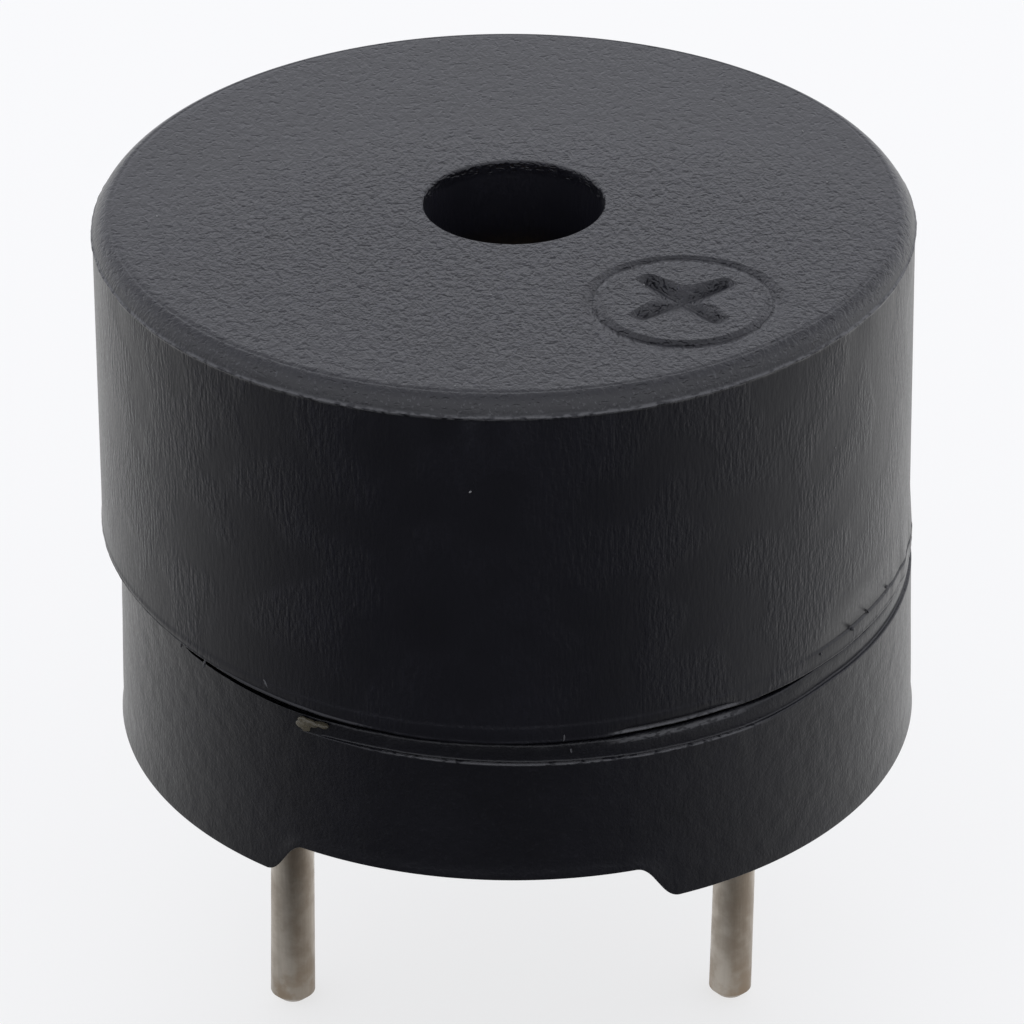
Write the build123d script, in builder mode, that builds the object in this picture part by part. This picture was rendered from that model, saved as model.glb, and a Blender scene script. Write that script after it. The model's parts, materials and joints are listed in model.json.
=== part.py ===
from build123d import *
import os

os.makedirs("parts", exist_ok=True)

# Sizes in millimetres. Origin: midway between the pins on the seat plane under the feet, +Z up, pins on X.

# Case
BODY_D = 12.0  # across the cap's top edge
BODY_H = 8.4  # top face above the seat plane
CASE_TURN = -7.5  # degrees that the case is turned on its pins
CAP_SHIFT = 0.15  # cap's outer wall stands this far off the axis, towards -X
CAP_FLARE = 0.05  # growth of the cap's radius down its wall
CAP_EDGE = 0.25  # chamfer round the top face
CAP_ROOF = 0.8
CAP_BOTTOM_Z = 2.9  # lower edge of the cap
LIP_H = 0.28  # raised lip along the cap's lower edge
LIP_OUT = 0.03
LIP_ROUND = 0.05

# Sound port
PORT_D = 2.64
NECK_D = 4.2
NECK_L = 2.0  # length of the port from the top face
ROOF_CHAMFER = 0.3  # where the wall and the neck join the roof

# Base ring
BASE_D = 11.95  # at the shoulder
BASE_FLARE = 0.06  # growth of the base ring's radius down its wall
SEAM_GAP = 0.1  # open joint between the cap and the base ring
BASE_EDGE = 0.3  # chamfer under the seam
FOOT_H = 0.58
FOOT_W = 1.0  # radial width of the feet
FOOT_ROUND = 0.1
SLOT_W = 5.1  # width of the slots between the feet, at their roof
SLOT_FLARE = 0.36  # slope at each end of a slot
SLOT_ROUND = 0.18
SKIRT_WALL = 0.8  # cap wall round the spigot
SPIGOT_FIT = 0.05  # radial clearance between spigot and cap
SPIGOT_WALL = 0.65

# Sounding disc
LEDGE_Z = 4.8  # cap's inner ledge, which holds the disc down
LEDGE_W = 0.4
DISC_T = 0.15
DISC_FIT = 0.05
CERAMIC_RIM = 1.35  # bare brass round the ceramic
CERAMIC_T = 0.12
ELECTRODE_T = 0.03
ELECTRODE_MARGIN = 0.3  # bare ceramic round the electrode
TONGUE_W = 1.3  # feedback electrode
TONGUE_L = 3.0
TONGUE_GAP = 0.25  # bare ceramic between the two electrodes
TONGUE_Y = -0.75
ADHESIVE_T = 0.1

# Pin carrier
BOARD_Z = 1.5
BOARD_T = 0.6
BOARD_FIT = 0.05
BOARD_LEDGE = 0.35  # ledge in the base ring that the board rests on
PIN_D = 0.65
PIN_ROOT_D = 1.0  # headed root, sealed in the resin
PIN_INSET = 0.7  # from the edge of the resin to the middle of a pin
PIN_L = 5.7  # below the seat plane
PIN_ABOVE = 0.4  # above the board
PIN_TIP = 0.1  # chamfer at the tip
PIN_HOLE_FIT = 0.05  # radial clearance in the board
FILLET_D = 1.6  # solder fillet round a pin
FILLET_H = 0.32
FILLET_SAG = 0.08  # how far the fillet's face falls below a straight cone

# Parts on the board
TRANSISTOR = (2.9, 1.3, 0.95)
TRANSISTOR_AT = (0.0, 0.6)
TRANSISTOR_LIFT = 0.1
PACKAGE_EDGE = 0.12  # chamfer round the top of the moulded packages
LEG_W = 0.42
LEG_T = 0.12
LEG_REACH = 0.55
LEG_PITCH = 0.95
CHIP = (1.6, 0.8, 0.45)
CHIP_END = 0.3
CHIPS_AT = {"bias": (-1.65, -2.2), "load": (1.65, -2.2), "base": (0.0, -3.25)}
DIODE = (1.7, 1.25, 0.85)
DIODE_AT = (0.0, 3.05)
DIODE_LIFT = 0.08
DIODE_LEG_L = 0.4
DIODE_LEG_W = 0.35

# Leads between the sounding disc and the board
LEAD_D = 0.2
DOT_D = 0.56
DOT_H = 0.22
DOT_SHOULDER = 0.06  # how far the dot's side stands out from a straight cone
LEAD_END = 0.5  # upright stretch at each end of a lead
MAIN_TOP = (-1.9, 1.5)
MAIN_BOTTOM = (-2.55, 2.1)
TONGUE_DOT_INSET = 0.9  # from the electrode's edge to the feedback lead
TONGUE_BOTTOM = (2.2, -1.25)
PLATE_ANGLE = 41.0  # where the brass plate's lead is soldered
PLATE_BOTTOM = (2.5, 2.1)

# Derived sizes
body_r = BODY_D / 2
cap_low_r = body_r + CAP_FLARE
lip_r = cap_low_r + LIP_OUT
base_r = BASE_D / 2
base_low_r = base_r + BASE_FLARE
foot_inner_r = base_low_r - FOOT_W
shoulder_z = CAP_BOTTOM_Z - SEAM_GAP
disc_z = LEDGE_Z - DISC_T
spigot_top_z = disc_z - ADHESIVE_T
ceramic_z = disc_z - CERAMIC_T
electrode_z = ceramic_z - ELECTRODE_T
skirt_r = body_r - SKIRT_WALL
cavity_r = skirt_r - LEDGE_W
spigot_r = skirt_r - SPIGOT_FIT
chamber_r = spigot_r - SPIGOT_WALL
board_r = chamber_r - BOARD_FIT
resin_r = chamber_r - BOARD_LEDGE
board_top_z = BOARD_Z + BOARD_T
resin_z = FOOT_H
plate_r = skirt_r - DISC_FIT
ceramic_r = plate_r - CERAMIC_RIM
electrode_r = ceramic_r - ELECTRODE_MARGIN
tongue_mid = electrode_r - TONGUE_L / 2
tongue_dot = (electrode_r - TONGUE_DOT_INSET, TONGUE_Y)
pin_x = resin_r - PIN_INSET
plate_dot = Vector((ceramic_r + chamber_r) / 2, 0).rotate(Axis.Z, PLATE_ANGLE)
cap_axis = Axis((-CAP_SHIFT, 0, 0), (0, 0, 1))
cap_plane = Plane((-CAP_SHIFT, 0, 0), x_dir=(1, 0, 0), z_dir=(0, -1, 0))

# Cap: outer form, inner steps and port neck
with BuildPart() as top_case:
    with BuildSketch(cap_plane) as cap_outer:
        with BuildLine():
            Polyline(
                (0, BODY_H),
                (body_r - CAP_EDGE, BODY_H),
                (body_r, BODY_H - CAP_EDGE),
                (cap_low_r, CAP_BOTTOM_Z + LIP_H + LIP_OUT),
                (lip_r, CAP_BOTTOM_Z + LIP_H),
                (lip_r, CAP_BOTTOM_Z + LIP_ROUND),
                (lip_r - LIP_ROUND, CAP_BOTTOM_Z),
                (0, CAP_BOTTOM_Z),
                close=True,
            )
        make_face()
    revolve(axis=cap_axis)
    with BuildSketch(Plane.XZ) as cap_inner:
        with BuildLine():
            Polyline(
                (0, CAP_BOTTOM_Z),
                (skirt_r, CAP_BOTTOM_Z),
                (skirt_r, LEDGE_Z),
                (cavity_r, LEDGE_Z),
                (cavity_r, BODY_H - CAP_ROOF),
                (NECK_D / 2, BODY_H - CAP_ROOF),
                (NECK_D / 2, BODY_H - NECK_L),
                (0, BODY_H - NECK_L),
                close=True,
            )
        make_face()
        roof_corners = cap_inner.vertices().group_by(Axis.Y)[-1]
        chamfer(roof_corners, ROOF_CHAMFER)
    revolve(axis=Axis.Z, mode=Mode.SUBTRACT)
    with BuildSketch(Plane.XY.offset(BODY_H)):
        Circle(PORT_D / 2)
    extrude(amount=-NECK_L, mode=Mode.SUBTRACT)
top_case.part.label = "top_case"
export_step(top_case.part, "parts/top_case.step")

# Base ring: feet, seam shoulder and spigot
with BuildPart() as base_ring:
    with BuildSketch(Plane.XZ) as base_profile:
        with BuildLine():
            Polyline(
                (resin_r, FOOT_H),
                (foot_inner_r, FOOT_H),
                (foot_inner_r, 0),
                (base_low_r, 0),
                (base_r, shoulder_z - BASE_EDGE),
                (base_r - BASE_EDGE, shoulder_z),
                (spigot_r, shoulder_z),
                (spigot_r, spigot_top_z),
                (chamber_r, spigot_top_z),
                (chamber_r, BOARD_Z),
                (resin_r, BOARD_Z),
                close=True,
            )
        make_face()
        chamfer(base_profile.vertices().group_by(Axis.Y)[0], FOOT_ROUND)
    revolve(axis=Axis.Z)
    with BuildSketch(Plane.XZ.rotated((0, 0, CASE_TURN))) as slot_profile:
        with BuildLine():
            Polyline(
                (-SLOT_W / 2 - SLOT_FLARE, 0),
                (-SLOT_W / 2, FOOT_H),
                (SLOT_W / 2, FOOT_H),
                (SLOT_W / 2 + SLOT_FLARE, 0),
                close=True,
            )
        make_face()
        fillet(slot_profile.vertices().group_by(Axis.Y)[-1], SLOT_ROUND)
    extrude(amount=BODY_D, both=True, mode=Mode.SUBTRACT)
base_ring.part.label = "base_ring"
export_step(base_ring.part, "parts/base_ring.step")

# Resin that seals the underside, flush with the roof of the slots
with BuildPart() as resin_fill:
    with BuildSketch(Plane.XY.offset(resin_z)):
        Circle(resin_r)
        with Locations((-pin_x, 0), (pin_x, 0)):
            Circle(PIN_ROOT_D / 2, mode=Mode.SUBTRACT)
    extrude(amount=BOARD_Z - resin_z)
resin_fill.part.label = "resin_fill"
export_step(resin_fill.part, "parts/resin_fill.step")

# Driver board
with BuildPart() as driver_board:
    with BuildSketch(Plane.XY.offset(BOARD_Z)):
        Circle(board_r)
        with Locations((-pin_x, 0), (pin_x, 0)):
            Circle(PIN_ROOT_D / 2 + PIN_HOLE_FIT, mode=Mode.SUBTRACT)
    extrude(amount=BOARD_T)
driver_board.part.label = "driver_board"
export_step(driver_board.part, "parts/driver_board.step")

# Pins and the solder that holds them to the board
for side, name in ((1, "positive"), (-1, "negative")):
    with BuildPart() as pin:
        with BuildSketch(Plane.XY.offset(-PIN_L)):
            with Locations((side * pin_x, 0)):
                Circle(PIN_D / 2)
        extrude(amount=PIN_L + resin_z)
        chamfer(pin.edges().group_by(Axis.Z)[0], PIN_TIP)
        with BuildSketch(Plane.XY.offset(resin_z)):
            with Locations((side * pin_x, 0)):
                Circle(PIN_ROOT_D / 2)
        extrude(amount=board_top_z + PIN_ABOVE - resin_z)
    pin.part.label = f"pin_{name}"
    export_step(pin.part, f"parts/pin_{name}.step")

    with BuildPart() as pin_solder:
        with BuildSketch(Plane.XZ):
            with BuildLine():
                Polyline(
                    (PIN_ROOT_D / 2, board_top_z),
                    (FILLET_D / 2, board_top_z),
                    ((PIN_ROOT_D + FILLET_D) / 4 - FILLET_SAG / 2, board_top_z + (FILLET_H - FILLET_SAG) / 2),
                    (PIN_ROOT_D / 2, board_top_z + FILLET_H),
                    close=True,
                )
            make_face()
        revolve(axis=Axis.Z)
    pin_solder.part = pin_solder.part.moved(Location((side * pin_x, 0, 0)))
    pin_solder.part.label = f"pin_solder_{name}"
    export_step(pin_solder.part, f"parts/pin_solder_{name}.step")

# Transistor
leg_drop = TRANSISTOR_LIFT + TRANSISTOR[2] / 2
with BuildPart() as transistor_body:
    with Locations((*TRANSISTOR_AT, board_top_z + TRANSISTOR_LIFT)):
        Box(*TRANSISTOR, align=(Align.CENTER, Align.CENTER, Align.MIN))
    chamfer(transistor_body.edges().group_by(Axis.Z)[-1], PACKAGE_EDGE)
transistor_body.part.label = "transistor_body"
export_step(transistor_body.part, "parts/transistor_body.step")

with BuildPart() as transistor_legs:
    with BuildSketch(Plane.YZ) as leg_profile:
        with BuildLine():
            Polyline(
                (TRANSISTOR[1] / 2, leg_drop),
                (TRANSISTOR[1] / 2 + LEG_T, leg_drop),
                (TRANSISTOR[1] / 2 + LEG_T, LEG_T),
                (TRANSISTOR[1] / 2 + LEG_REACH, LEG_T),
                (TRANSISTOR[1] / 2 + LEG_REACH, 0),
                (TRANSISTOR[1] / 2, 0),
                close=True,
            )
        make_face()
    extrude(amount=LEG_W / 2, both=True)
one_leg = transistor_legs.part
leg_places = [
    Location((*TRANSISTOR_AT, board_top_z)),
    Location((TRANSISTOR_AT[0] - LEG_PITCH, TRANSISTOR_AT[1], board_top_z), (0, 0, 180)),
    Location((TRANSISTOR_AT[0] + LEG_PITCH, TRANSISTOR_AT[1], board_top_z), (0, 0, 180)),
]
with BuildPart() as leg_set:
    with Locations(*leg_places):
        add(one_leg)
leg_set.part.label = "transistor_legs"
export_step(leg_set.part, "parts/transistor_legs.step")

# Chip resistors and their end caps
for name, place in CHIPS_AT.items():
    with BuildPart() as chip_core:
        with Locations((*place, board_top_z)):
            Box(CHIP[0] - 2 * CHIP_END, CHIP[1], CHIP[2], align=(Align.CENTER, Align.CENTER, Align.MIN))
    chip_core.part.label = f"resistor_{name}"
    export_step(chip_core.part, f"parts/resistor_{name}.step")

    with BuildPart() as chip_ends:
        for end in (-1, 1):
            with Locations((place[0] + end * (CHIP[0] - CHIP_END) / 2, place[1], board_top_z)):
                Box(CHIP_END, CHIP[1], CHIP[2], align=(Align.CENTER, Align.CENTER, Align.MIN))
    chip_ends.part.label = f"resistor_{name}_ends"
    export_step(chip_ends.part, f"parts/resistor_{name}_ends.step")

# Protection diode
with BuildPart() as diode_body:
    with Locations((*DIODE_AT, board_top_z + DIODE_LIFT)):
        Box(*DIODE, align=(Align.CENTER, Align.CENTER, Align.MIN))
    chamfer(diode_body.edges().group_by(Axis.Z)[-1], PACKAGE_EDGE)
diode_body.part.label = "diode_body"
export_step(diode_body.part, "parts/diode_body.step")

with BuildPart() as diode_legs:
    for end in (-1, 1):
        with Locations((DIODE_AT[0] + end * (DIODE[0] + DIODE_LEG_L) / 2, DIODE_AT[1], board_top_z)):
            Box(DIODE_LEG_L, DIODE_LEG_W, LEG_T, align=(Align.CENTER, Align.CENTER, Align.MIN))
diode_legs.part.label = "diode_legs"
export_step(diode_legs.part, "parts/diode_legs.step")

# Sounding disc: brass plate, ceramic, electrodes and the adhesive under its rim
with BuildPart() as brass_plate:
    with BuildSketch(Plane.XY.offset(disc_z)):
        Circle(plate_r)
    extrude(amount=DISC_T)
brass_plate.part.label = "brass_plate"
export_step(brass_plate.part, "parts/brass_plate.step")

with BuildPart() as adhesive_ring:
    with BuildSketch(Plane.XY.offset(spigot_top_z)):
        Circle(spigot_r)
        Circle(chamber_r, mode=Mode.SUBTRACT)
    extrude(amount=ADHESIVE_T)
adhesive_ring.part.label = "adhesive_ring"
export_step(adhesive_ring.part, "parts/adhesive_ring.step")

with BuildPart() as piezo_ceramic:
    with BuildSketch(Plane.XY.offset(ceramic_z)):
        Circle(ceramic_r)
    extrude(amount=CERAMIC_T)
piezo_ceramic.part.label = "piezo_ceramic"
export_step(piezo_ceramic.part, "parts/piezo_ceramic.step")

with BuildPart() as feedback_electrode:
    with BuildSketch(Plane.XY.offset(electrode_z)) as tongue:
        Circle(electrode_r)
        with Locations((tongue_mid, TONGUE_Y)):
            SlotOverall(TONGUE_L + TONGUE_W, TONGUE_W, mode=Mode.INTERSECT)
    extrude(amount=ELECTRODE_T)
feedback_electrode.part.label = "feedback_electrode"
export_step(feedback_electrode.part, "parts/feedback_electrode.step")

with BuildPart() as main_electrode:
    with BuildSketch(Plane.XY.offset(electrode_z)):
        Circle(electrode_r)
        with Locations((tongue_mid, TONGUE_Y)):
            SlotOverall(
                TONGUE_L + TONGUE_W + 2 * TONGUE_GAP,
                TONGUE_W + 2 * TONGUE_GAP,
                mode=Mode.SUBTRACT,
            )
    extrude(amount=ELECTRODE_T)
main_electrode.part.label = "main_electrode"
export_step(main_electrode.part, "parts/main_electrode.step")

# Leads, each with a solder dot at both ends
leads = {
    "main": (MAIN_TOP, MAIN_BOTTOM, electrode_z),
    "feedback": (tongue_dot, TONGUE_BOTTOM, electrode_z),
    "plate": ((plate_dot.X, plate_dot.Y), PLATE_BOTTOM, disc_z),
}
for name, (top, bottom, top_z) in leads.items():
    start = Vector(*top, top_z)
    end = Vector(*bottom, board_top_z)
    with BuildPart() as lead:
        with BuildLine() as lead_path:
            Polyline(start, start - Vector(0, 0, LEAD_END), end + Vector(0, 0, LEAD_END), end)
        with BuildSketch(Plane(origin=start, z_dir=(0, 0, -1))):
            Circle(LEAD_D / 2)
        sweep(path=lead_path.wire(), transition=Transition.RIGHT)
    lead.part.label = f"lead_{name}"
    export_step(lead.part, f"parts/lead_{name}.step")

    for node, centre, tilt in ((f"dot_{name}_disc", start, 180), (f"dot_{name}_board", end, 0)):
        with BuildPart() as dot:
            with BuildSketch(Plane.XZ):
                with BuildLine():
                    Polyline(
                        (LEAD_D / 2, 0),
                        (DOT_D / 2, 0),
                        ((LEAD_D + DOT_D) / 4 + DOT_SHOULDER, DOT_H / 2 + DOT_SHOULDER),
                        (LEAD_D / 2, DOT_H),
                        close=True,
                    )
                make_face()
            revolve(axis=Axis.Z)
        dot.part = dot.part.moved(Location(tuple(centre), (tilt, 0, 0)))
        dot.part.label = node
        export_step(dot.part, f"parts/{node}.step")
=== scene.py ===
import json
import math
import random

import bmesh
import bpy
from mathutils import Matrix, Vector, noise


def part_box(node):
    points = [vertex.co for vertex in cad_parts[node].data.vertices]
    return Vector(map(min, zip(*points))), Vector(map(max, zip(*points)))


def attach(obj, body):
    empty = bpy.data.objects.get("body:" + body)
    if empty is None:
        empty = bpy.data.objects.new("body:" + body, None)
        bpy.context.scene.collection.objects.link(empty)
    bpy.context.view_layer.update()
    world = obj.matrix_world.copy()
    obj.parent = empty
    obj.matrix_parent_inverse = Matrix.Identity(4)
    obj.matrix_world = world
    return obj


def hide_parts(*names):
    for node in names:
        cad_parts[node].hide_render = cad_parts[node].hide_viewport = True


bl_info = {
    "name": "Piezo Buzzer",
    "version": (1, 0, 0),
    "blender": (4, 5, 0),
    "location": "3D View > Sidebar > Buzzer",
    "description": "Dresses the packed piezo buzzer: case, plus sign, pins, inner parts and studio",
    "category": "Object",
}

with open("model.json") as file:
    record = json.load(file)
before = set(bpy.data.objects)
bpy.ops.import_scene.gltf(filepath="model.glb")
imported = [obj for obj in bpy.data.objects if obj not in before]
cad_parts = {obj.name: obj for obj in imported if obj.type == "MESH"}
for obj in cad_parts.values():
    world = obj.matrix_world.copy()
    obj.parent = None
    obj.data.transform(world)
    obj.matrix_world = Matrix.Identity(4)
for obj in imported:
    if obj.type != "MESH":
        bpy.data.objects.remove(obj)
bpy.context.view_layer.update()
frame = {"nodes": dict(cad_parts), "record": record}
MM = 0.001


def span(node, axis):
    """Lowest and highest coordinate of a CAD node along an axis, in millimetres."""
    low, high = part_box(node)
    return low[axis] / MM, high[axis] / MM


CAP_X = span("top_case", 0)
CAP_Z = span("top_case", 2)
BASE_X = span("base_ring", 0)
BASE_Z = span("base_ring", 2)
PIN_X = span("pin_positive", 0)
PIN_Z = span("pin_positive", 2)
RESIN_Z = span("resin_fill", 2)
LIP_RADIUS = (CAP_X[1] - CAP_X[0]) / 2
FOOT_RADIUS = (BASE_X[1] - BASE_X[0]) / 2
PIN_OFFSET = sum(PIN_X) / 2


def millimetres(name, description, default):
    return bpy.props.FloatProperty(name=name, description=description, default=default, precision=3)


def degrees(name, description, default):
    angle = math.radians(default)
    return bpy.props.FloatProperty(name=name, description=description, default=angle, subtype="ANGLE")


def shade(name, description, default):
    return bpy.props.FloatVectorProperty(
        name=name, description=description, default=default, size=3, min=0.0, max=1.0, subtype="COLOR"
    )


class BuzzerSizes(bpy.types.PropertyGroup):
    """Sizes of the dressed pieces, in millimetres."""

    cap_radius: millimetres("Cap radius", "Radius at the top edge, outside the chamfer", 6.0)
    cap_shift: millimetres("Cap shift", "How far the wall stands off the axis, towards -X", -sum(CAP_X) / 2)
    cap_top: millimetres("Cap top", "Height of the top face", CAP_Z[1])
    cap_bottom: millimetres("Cap bottom", "Height of the cap's lower edge", CAP_Z[0])
    cap_edge: millimetres("Cap edge", "Width and height of the rounded edge round the top face", 0.25)
    lip_height: millimetres("Lip height", "Height of the raised lip", 0.28)
    lip_radius: millimetres("Lip radius", "Radius of the raised lip", LIP_RADIUS)
    port_radius: millimetres("Port radius", "Radius of the sound hole", 1.32)
    skirt_radius: millimetres("Skirt radius", "Inner radius of the cap round the spigot", 5.2)
    mark_distance: millimetres("Mark distance", "Distance of the plus sign from the axis", 3.88)
    ring_radius: millimetres("Ring radius", "Radius of the middle of the groove round the plus sign", 1.28)
    ring_half: millimetres("Ring half width", "Half width of that groove at the surface", 0.15)
    ring_depth: millimetres("Ring depth", "Depth of that groove", 0.06)
    plus_reach: millimetres("Plus reach", "Half length of the plus sign's arms at the surface", 0.92)
    plus_half: millimetres("Plus half width", "Half width of the plus sign's arms at the surface", 0.235)
    plus_depth: millimetres("Plus depth", "Depth of the plus sign", 0.135)
    base_low: millimetres("Base low radius", "Outer radius of the base ring at its foot", FOOT_RADIUS)
    base_flare: millimetres("Base flare", "How much the base ring widens towards its foot", 0.06)
    shoulder: millimetres("Shoulder", "Height of the base ring's shoulder under the seam", 2.8)
    base_chamfer: millimetres("Base chamfer", "Chamfer under the seam", 0.3)
    foot_height: millimetres("Foot height", "Height of the feet", 0.58)
    foot_width: millimetres("Foot width", "Radial width of the feet", 1.0)
    slot_half: millimetres("Slot half width", "Half width of the slots at their roof", 2.55)
    slot_flare: millimetres("Slot flare", "Width of the slope at the end of a slot", 0.36)
    pin_radius: millimetres("Pin radius", "Radius of the pins below the case", 0.316)
    pin_offset: millimetres("Pin offset", "Distance of each pin from the axis", PIN_OFFSET)
    pin_spread: millimetres("Pin spread", "How much a pin's radius grows towards its tip", 0.028)
    case_turn: degrees("Case turn", "Turn of the case on its pins", -7.5)
    lean_left: degrees("Left lean", "Lean of the left pin", 1.43)
    lean_right: degrees("Right lean", "Lean of the right pin", 0.85)


class BuzzerColours(bpy.types.PropertyGroup):
    """Colours of the finishes."""

    cap: shade("Cap", "Black plastic of the cap", (0.009, 0.009, 0.013))
    base: shade("Base", "Black plastic of the base ring", (0.009, 0.009, 0.0125))
    # this colour also paints the highlights on the cap's edge, its lip, the ring and the base's ledges
    burr_and_painted_highlight: shade("Burr", "Stressed, whitened plastic along the moulding lines", (0.1, 0.1, 0.105))
    glue: shade("Glue", "Glue that came out of the seam", (0.1, 0.088, 0.06))
    pins: shade("Pins", "Tin plate of the pins", (0.5, 0.455, 0.4))
    resin: shade("Resin", "Potting resin", (0.018, 0.018, 0.02))
    board: shade("Board", "Solder mask of the driver board", (0.03, 0.16, 0.06))
    floor: shade("Floor", "Studio floor", (0.3, 0.3, 0.3))


# Mesh helpers, in millimetres


def add_object(name, data):
    """New object in the scene, at the origin."""
    made = bpy.data.objects.new(name, data)
    bpy.context.collection.objects.link(made)
    return made


def smooth(mesh):
    for polygon in mesh.polygons:
        polygon.use_smooth = True


def finish_mesh(bm, name):
    """Turn a bmesh in millimetres into a smooth object in metres that sits at the origin."""
    bmesh.ops.recalc_face_normals(bm, faces=bm.faces[:])
    mesh = bpy.data.meshes.new(name)
    bm.to_mesh(mesh)
    bm.free()
    mesh.transform(Matrix.Scale(MM, 4))
    smooth(mesh)
    return add_object(name, mesh)


def plain_mesh(piece):
    """Replace an object's mesh with its evaluated one, and drop its modifiers."""
    depsgraph = bpy.context.evaluated_depsgraph_get()
    result = bpy.data.meshes.new_from_object(piece.evaluated_get(depsgraph), depsgraph=depsgraph)
    old = piece.data
    piece.modifiers.clear()
    piece.data = result
    bpy.data.meshes.remove(old)
    return piece


def weigh_normals(piece, weight):
    """Let the large faces lead the normals, so that what is flat looks flat."""
    modifier = piece.modifiers.new("normals", "WEIGHTED_NORMAL")
    modifier.mode = "FACE_AREA"
    modifier.weight = weight
    modifier.keep_sharp = False


def paint(piece, material):
    piece.data.materials.clear()
    piece.data.materials.append(material)


def arc(centre, radius, start, end, steps):
    """Points of an arc in the profile plane, angles in degrees."""
    points = []
    for i in range(steps + 1):
        a = math.radians(start + (end - start) * i / steps)
        points.append((centre[0] + radius * math.cos(a), centre[1] + radius * math.sin(a)))
    return points


def around(x, y, *steps):
    """Points of a profile, each given by its step from (x, y)."""
    return [(x + across, y + up) for across, up in steps]


def skin(bm, columns):
    """Faces between neighbouring columns of vertices, closed both ways."""
    for i, column in enumerate(columns):
        following = columns[(i + 1) % len(columns)]
        for j in range(len(column)):
            k = (j + 1) % len(column)
            bm.faces.new((column[j], following[j], following[k], column[k]))


def lathe(profile, angles, place):
    """Closed lathe of a closed profile. place(r, z, angle) gives each vertex."""
    bm = bmesh.new()
    skin(bm, [[bm.verts.new(place(r, z, angle)) for r, z in profile] for angle in angles])
    return bm


def even_angles(count):
    return [math.tau * i / count for i in range(count)]


# Material helpers


class Nodes:
    """Short way to write a node tree."""

    def __init__(self, tree):
        self.tree = tree

    def link(self, source, target):
        self.tree.links.new(source, target)

    def node(self, kind, inputs=None, **values):
        """New node, its properties set first and its inputs then linked or set."""
        made = self.tree.nodes.new(kind)
        for key, value in values.items():
            setattr(made, key, value)
        for key, value in (inputs or {}).items():
            if isinstance(value, bpy.types.NodeSocket):
                self.link(value, made.inputs[key])
            else:
                made.inputs[key].default_value = value
        return made

    def math(self, operation, *values, clamp=False):
        inputs = dict(enumerate(values))
        return self.node("ShaderNodeMath", inputs, operation=operation, use_clamp=clamp).outputs[0]


class Shading(Nodes):
    """Node tree of a material or the world."""

    def times(self, first, *others):
        """Product of all the values."""
        for other in others:
            first = self.math("MULTIPLY", first, other)
        return first

    def mad(self, a, b, c):
        """a * b + c"""
        return self.math("ADD", self.times(a, b), c)

    def square(self, x, y):
        """Square of the length of (x, y)."""
        return self.math("ADD", self.times(x, x), self.times(y, y))

    def ramp(self, value, low, high, out_low=0.0, out_high=1.0, shape="SMOOTHSTEP"):
        """Smooth step from low to high."""
        ends = {"Value": value, "From Min": low, "From Max": high, "To Min": out_low, "To Max": out_high}
        return self.node("ShaderNodeMapRange", ends, interpolation_type=shape).outputs["Result"]

    def near(self, value, centre, width):
        """One at centre, falling to nothing at width from it."""
        off = self.math("ABSOLUTE", self.math("SUBTRACT", value, centre))
        return self.ramp(off, width * 0.3, width, 1.0, 0.0)

    def blend(self, factor, a, b, kind="RGBA"):
        inputs = {"Factor": factor, "A": a, "B": b}
        return self.node("ShaderNodeMix", inputs, data_type=kind).outputs["Result"]

    def axes(self, vector):
        split = self.node("ShaderNodeSeparateXYZ", {0: vector})
        return split.outputs["X"], split.outputs["Y"], split.outputs["Z"]

    def light(self, kind, strength, colour=(1.0, 1.0, 1.0, 1.0)):
        """Shader that glows with an even colour."""
        return self.node(kind, {"Strength": strength, "Color": colour}).outputs[0]

    def choose(self, ray, others, seen):
        """Shader that shows one kind of ray what is seen, and the rest the other one."""
        chosen = self.node("ShaderNodeLightPath").outputs[ray]
        return self.node("ShaderNodeMixShader", {"Fac": chosen, 1: others, 2: seen}).outputs[0]


class Recipe(Shading):
    """Material with one Principled shader."""

    def __init__(self, name):
        self.material = bpy.data.materials.new(name)
        self.material.use_nodes = True
        super().__init__(self.material.node_tree)
        self.shader = self.tree.nodes["Principled BSDF"]
        self.where = self.node("ShaderNodeTexCoord").outputs["Object"]

    def stretch(self, scale):
        """Object coordinates in millimetres, scaled per axis."""
        scales = {"Vector": self.where, "Scale": [s / MM for s in scale]}
        return self.node("ShaderNodeMapping", scales).outputs["Vector"]

    def place(self):
        """The three object coordinates in millimetres."""
        return self.axes(self.stretch((1.0, 1.0, 1.0)))

    def noise(self, scale, detail=2.0, rough=0.5, distortion=0.0):
        """Noise whose features are about 1/scale millimetres."""
        vector = self.stretch(scale if isinstance(scale, tuple) else (scale, scale, scale))
        look = {"Scale": 1.0, "Detail": detail, "Roughness": rough, "Distortion": distortion}
        return self.node("ShaderNodeTexNoise", {"Vector": vector, **look}).outputs["Fac"]

    def bump(self, height):
        """Bump of a height in millimetres."""
        relief = {"Height": height, "Strength": 1.0, "Distance": MM}
        return self.node("ShaderNodeBump", relief).outputs["Normal"]

    def total(self, *heights):
        """Sum of (pattern, size) pairs."""
        result = None
        for pattern, size in heights:
            part = self.times(pattern, size)
            result = part if result is None else self.math("ADD", result, part)
        return result

    def finish(self, colour, rough, normal=None, **plain):
        """Feed the shader. Numbers that are even all over are set on its own sockets."""
        for key, value in (("Base Color", colour), ("Roughness", rough), ("Normal", normal)):
            if isinstance(value, bpy.types.NodeSocket):
                self.link(value, self.shader.inputs[key])
            elif value is not None:
                self.shader.inputs[key].default_value = value
        for key, value in plain.items():
            self.shader.inputs[key.replace("_", " ")].default_value = value
        return self.material


def rgba(colour, gain=1.0):
    return (colour[0] * gain, colour[1] * gain, colour[2] * gain, 1.0)


def tinted(colour, *gains):
    return rgba([channel * gain for channel, gain in zip(colour, gains)])


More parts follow.
